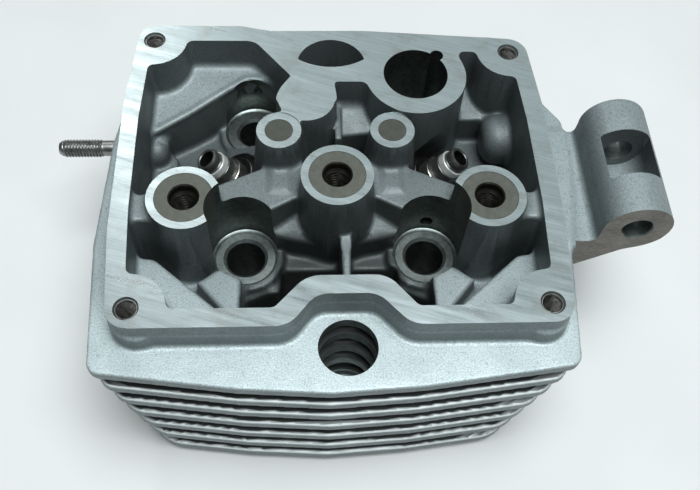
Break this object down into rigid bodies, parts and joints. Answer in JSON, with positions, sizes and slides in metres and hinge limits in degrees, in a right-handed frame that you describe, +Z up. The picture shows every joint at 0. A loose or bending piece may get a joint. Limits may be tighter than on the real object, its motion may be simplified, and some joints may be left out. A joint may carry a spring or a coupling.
{
  "type": "engine cylinder head",
  "caption": "Air-cooled engine cylinder head with an open rocker box, bare valve guides, thread bushes, cooling fins and a side hanger lug.",
  "frame": {"origin": "centre of the cylinder bore in the gasket face", "axes": "+Z up towards the rocker cover, -X the exhaust side, -Y the pushrod side"},
  "size_m": [0.1915, 0.1339, 0.0775],
  "materials": {
    "cast_aluminium": "bead-blasted casting with machined faces",
    "guide_iron": "dark oiled iron, turned",
    "clip_steel": "bright turned steel",
    "seat_iron": "ground iron",
    "spring_seat_steel": "black oxide steel with worn edges",
    "bush_steel": "faced steel, brown grey",
    "insert_steel": "bright thread insert",
    "stud_steel": "zinc plated steel"
  },
  "bodies": {
    "root": {"hanger_lug": "cast_aluminium", "rocker_box_front_left": "cast_aluminium", "rocker_box_front_right": "cast_aluminium", "rocker_box_pushrod_left": "cast_aluminium", "rocker_box_pushrod_right": "cast_aluminium", "rocker_box_middle_left": "cast_aluminium", "rocker_box_middle_right": "cast_aluminium", "rocker_box_back_left": "cast_aluminium", "rocker_box_back_inner_left": "cast_aluminium", "rocker_box_back_inner_right": "cast_aluminium", "rocker_box_back_right": "cast_aluminium", "valve_deck_front_left": "cast_aluminium", "valve_deck_front_right": "cast_aluminium", "valve_deck_pushrod_left": "cast_aluminium", "valve_deck_pushrod_inner_left": "cast_aluminium", "valve_deck_pushrod_inner_right": "cast_aluminium", "valve_deck_pushrod_right": "cast_aluminium", "valve_deck_middle_left": "cast_aluminium", "valve_deck_middle_right": "cast_aluminium", "valve_deck_back_left": "cast_aluminium", "valve_deck_back_inner_left": "cast_aluminium", "valve_deck_back_inner_right": "cast_aluminium", "valve_deck_back_right": "cast_aluminium", "combustion_deck_front_left": "cast_aluminium", "combustion_deck_front_right": "cast_aluminium", "combustion_deck_pushrod_left": "cast_aluminium", "combustion_deck_pushrod_right": "cast_aluminium", "combustion_deck_middle_left": "cast_aluminium", "combustion_deck_middle_right": "cast_aluminium", "combustion_deck_back_left": "cast_aluminium", "combustion_deck_back_right": "cast_aluminium", "exhaust_valve_guide": "guide_iron", "exhaust_guide_clip": "clip_steel", "exhaust_spring_seat": "spring_seat_steel", "exhaust_valve_seat": "seat_iron", "intake_valve_guide": "guide_iron", "intake_guide_clip": "clip_steel", "intake_spring_seat": "spring_seat_steel", "intake_valve_seat": "seat_iron", "left_post_bush": "bush_steel", "centre_post_bush": "bush_steel", "right_post_bush": "bush_steel", "left_rest_pad": "bush_steel", "right_rest_pad": "bush_steel", "front_left_screw_insert": "insert_steel", "front_right_screw_insert": "insert_steel", "back_left_screw_insert": "insert_steel", "back_right_screw_insert": "insert_steel", "spark_plug_insert": "insert_steel", "exhaust_stud": "stud_steel"}
  },
  "joints": []
}
